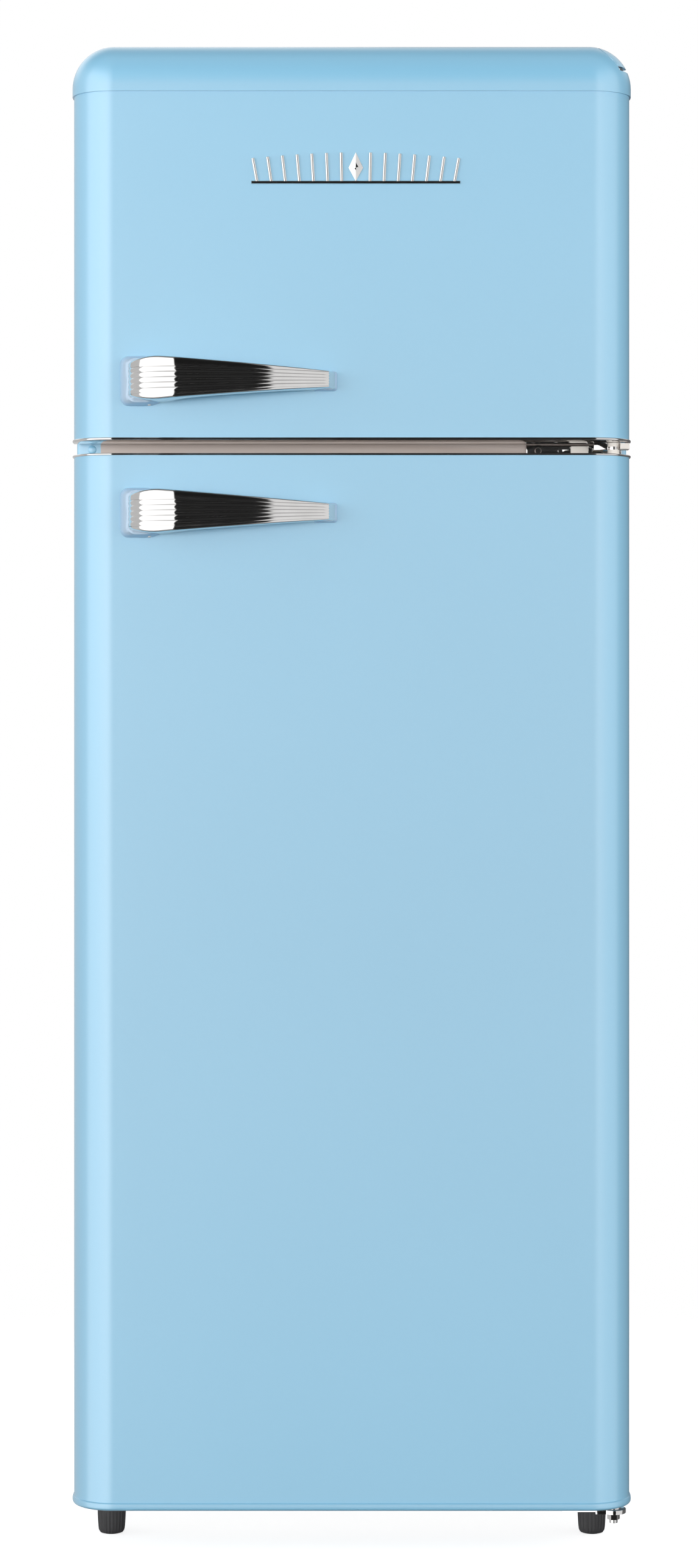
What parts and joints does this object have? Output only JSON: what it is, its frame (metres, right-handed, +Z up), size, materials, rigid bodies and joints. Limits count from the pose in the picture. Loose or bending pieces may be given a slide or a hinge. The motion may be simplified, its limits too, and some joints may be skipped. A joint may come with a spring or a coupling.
{
  "type": "top freezer refrigerator",
  "caption": "Free-standing retro refrigerator with rounded edges, a freezer door above a tall fridge door, chrome lever-style bar handles and short levelling feet.",
  "frame": {"origin": "on the floor, in the middle of the overall width and depth", "axes": "+Z up, door fronts and handles towards -Y, hinge side towards +X"},
  "size_m": [0.545, 0.62, 1.463],
  "materials": {
    "blue_paint": "satin powder coat",
    "blue_plastic": "satin moulded plastic",
    "grey_steel": "zinc plated sheet",
    "foam": "rigid insulation foam",
    "white_liner": "glossy vacuum-formed plastic",
    "greige_paint": "satin paint",
    "chrome": "polished",
    "nylon": "matte",
    "aluminium": "mill finish",
    "white_wire": "plastic coated wire",
    "shelf_glass": "clear tempered",
    "clear_plastic": "clear moulded",
    "white_plastic": "satin",
    "bulb_glass": "clear glass",
    "frosted_plastic": "frosted",
    "black_paint": "gloss paint",
    "motor_steel": "cast",
    "black_rubber": "matte",
    "black_plastic": "matte",
    "copper": "drawn copper",
    "grey_plastic": "satin",
    "foot_plastic": "matte moulded",
    "gasket_rubber": "soft extruded"
  },
  "bodies": {
    "cabinet": {"cabinet_shell": "blue_paint", "back_panel": "grey_steel", "base_frame": "grey_steel", "compressor_deck": "grey_steel", "cabinet_foam": "foam", "freezer_liner": "white_liner", "fridge_liner": "white_liner", "mullion_rail": "greige_paint", "hinge_hole_plugs": "blue_plastic", "top_hinge": "chrome", "top_hinge_cover": "blue_plastic", "middle_hinge": "chrome", "bottom_hinge": "chrome", "hinge_washers": "nylon", "hinge_screws": "chrome", "evaporator_plates": "aluminium", "freezer_shelf": "white_wire", "shelf_upper": "shelf_glass", "shelf_middle": "shelf_glass", "shelf_lower": "shelf_glass", "crisper_cover": "shelf_glass", "crisper_drawer": "clear_plastic", "thermostat_housing": "white_plastic", "lamp_bulb": "bulb_glass", "lamp_cover": "frosted_plastic", "compressor_shell": "black_paint", "compressor_motor": "motor_steel", "compressor_mounts": "black_rubber", "relay_cover": "black_plastic", "condenser_coil": "black_paint", "condenser_straps": "black_paint", "filter_drier": "copper", "refrigerant_pipes": "copper", "evaporation_tray": "black_plastic", "drain_tube": "grey_plastic", "mains_gland": "black_rubber"},
    "freezer_door": {"freezer_door_skin": "blue_paint", "freezer_door_top_cap": "blue_plastic", "freezer_door_trim": "chrome", "freezer_door_foam": "foam", "freezer_door_liner": "white_liner", "freezer_door_gasket": "gasket_rubber", "freezer_door_racks": "clear_plastic", "freezer_door_bushes": "nylon", "freezer_handle": "chrome", "badge_ornament": "chrome"},
    "fridge_door": {"fridge_door_skin": "blue_paint", "fridge_door_top_trim": "chrome", "fridge_door_bottom_cap": "blue_plastic", "fridge_door_foam": "foam", "fridge_door_liner": "white_liner", "fridge_door_gasket": "gasket_rubber", "fridge_door_racks": "clear_plastic", "fridge_handle": "chrome"},
    "front_foot_left": {"front_foot_left": "foot_plastic"},
    "front_foot_right": {"front_foot_right": "foot_plastic"},
    "rear_roller_left": {"rear_roller_left": "foot_plastic"},
    "rear_roller_right": {"rear_roller_right": "foot_plastic"},
    "thermostat_knob": {"thermostat_knob": "grey_plastic"},
    "light_switch": {"light_switch": "white_plastic"}
  },
  "joints": [
    {"name": "freezer_door_hinge", "type": "hinge", "parent": "cabinet", "child": "freezer_door", "pos_m": [0.255, -0.235, 1.0763], "axis": [0, 0, 1], "range_deg": [0, 115]},
    {"name": "fridge_door_hinge", "type": "hinge", "parent": "cabinet", "child": "fridge_door", "pos_m": [0.255, -0.235, 0.0422], "axis": [0, 0, 1], "range_deg": [0, 115]},
    {"name": "thermostat_turn", "type": "hinge", "parent": "cabinet", "child": "thermostat_knob", "pos_m": [0.182, 0.05, 0.94], "axis": [-1, 0, 0], "range_deg": [0, 300]},
    {"name": "light_switch_press", "type": "slide", "parent": "cabinet", "child": "light_switch", "axis": [0, 1, 0], "range_m": [0, 0.004], "stiffness_N_per_m": 150},
    {"name": "left_foot_height", "type": "slide", "parent": "cabinet", "child": "front_foot_left", "axis": [0, 0, -1], "range_m": [0, 0.012]},
    {"name": "right_foot_height", "type": "slide", "parent": "cabinet", "child": "front_foot_right", "axis": [0, 0, -1], "range_m": [0, 0.012]},
    {"name": "left_roller_spin", "type": "hinge", "parent": "cabinet", "child": "rear_roller_left", "pos_m": [-0.225, 0.235, 0.015], "axis": [1, 0, 0], "continuous": true},
    {"name": "right_roller_spin", "type": "hinge", "parent": "cabinet", "child": "rear_roller_right", "pos_m": [0.225, 0.235, 0.015], "axis": [1, 0, 0], "continuous": true}
  ]
}
